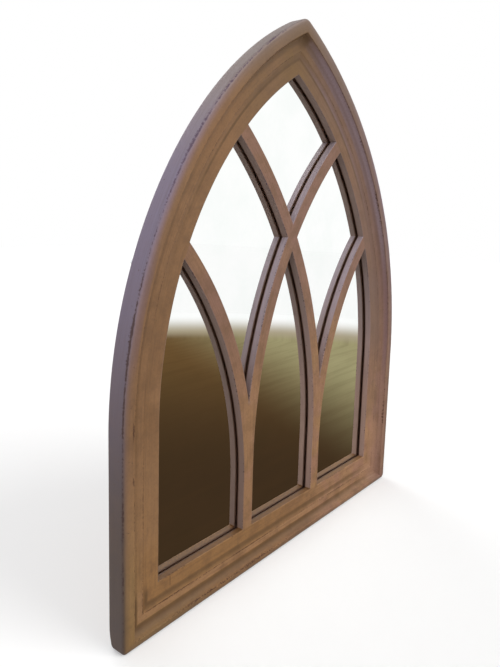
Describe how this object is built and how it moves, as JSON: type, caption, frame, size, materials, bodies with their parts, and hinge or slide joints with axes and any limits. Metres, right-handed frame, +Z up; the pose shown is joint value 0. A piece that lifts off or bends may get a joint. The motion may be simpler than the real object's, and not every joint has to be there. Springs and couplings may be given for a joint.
{
  "type": "window mirror",
  "caption": "Pointed-arch wall mirror with a moulded wooden frame, three lancets of intersecting tracery over one pane, a backing board and two hanging rings.",
  "frame": {"origin": "middle of the base: midway across, and midway between the rim's front and the wall pads' back", "axes": "+Z up, towards the arch's point; -Y out of the mirror's face; +Y towards the wall; +X to the right of someone who looks into the mirror"},
  "size_m": [0.6, 0.03, 0.698],
  "materials": {
    "painted_wood": "worn matt paint, taupe",
    "bare_wood": "bare beech",
    "mirror": "silvered glass",
    "board": "hardboard",
    "steel": "zinc plated",
    "felt": "felt"
  },
  "bodies": {
    "mirror": {"bottom_rail": "painted_wood", "left_stile": "painted_wood", "right_stile": "painted_wood", "left_lower_arch": "painted_wood", "right_lower_arch": "painted_wood", "left_upper_arch": "painted_wood", "right_upper_arch": "painted_wood", "corner_dowels": "bare_wood", "stile_dowels": "bare_wood", "arch_dowels": "bare_wood", "apex_dowels": "bare_wood", "left_mullion": "painted_wood", "right_mullion": "painted_wood", "left_long_bar": "painted_wood", "right_long_bar": "painted_wood", "left_short_bar": "painted_wood", "right_short_bar": "painted_wood", "bar_dowels": "bare_wood", "mirror_glass": "mirror", "backing_board": "board", "backing_screws": "steel", "left_hanger_plate": "steel", "right_hanger_plate": "steel", "hanger_screws": "steel", "wall_pads": "felt"},
    "left_ring": {"left_hanger_ring": "steel"},
    "right_ring": {"right_hanger_ring": "steel"}
  },
  "joints": [
    {"name": "left_ring_swing", "type": "hinge", "parent": "mirror", "child": "left_ring", "pos_m": [-0.25673, 0.01153, 0.40169], "axis": [-0.9397, 0, 0.342], "range_deg": [0, 170]},
    {"name": "right_ring_swing", "type": "hinge", "parent": "mirror", "child": "right_ring", "pos_m": [0.25673, 0.01153, 0.40169], "axis": [-0.9397, 0, -0.342], "range_deg": [0, 170]}
  ]
}
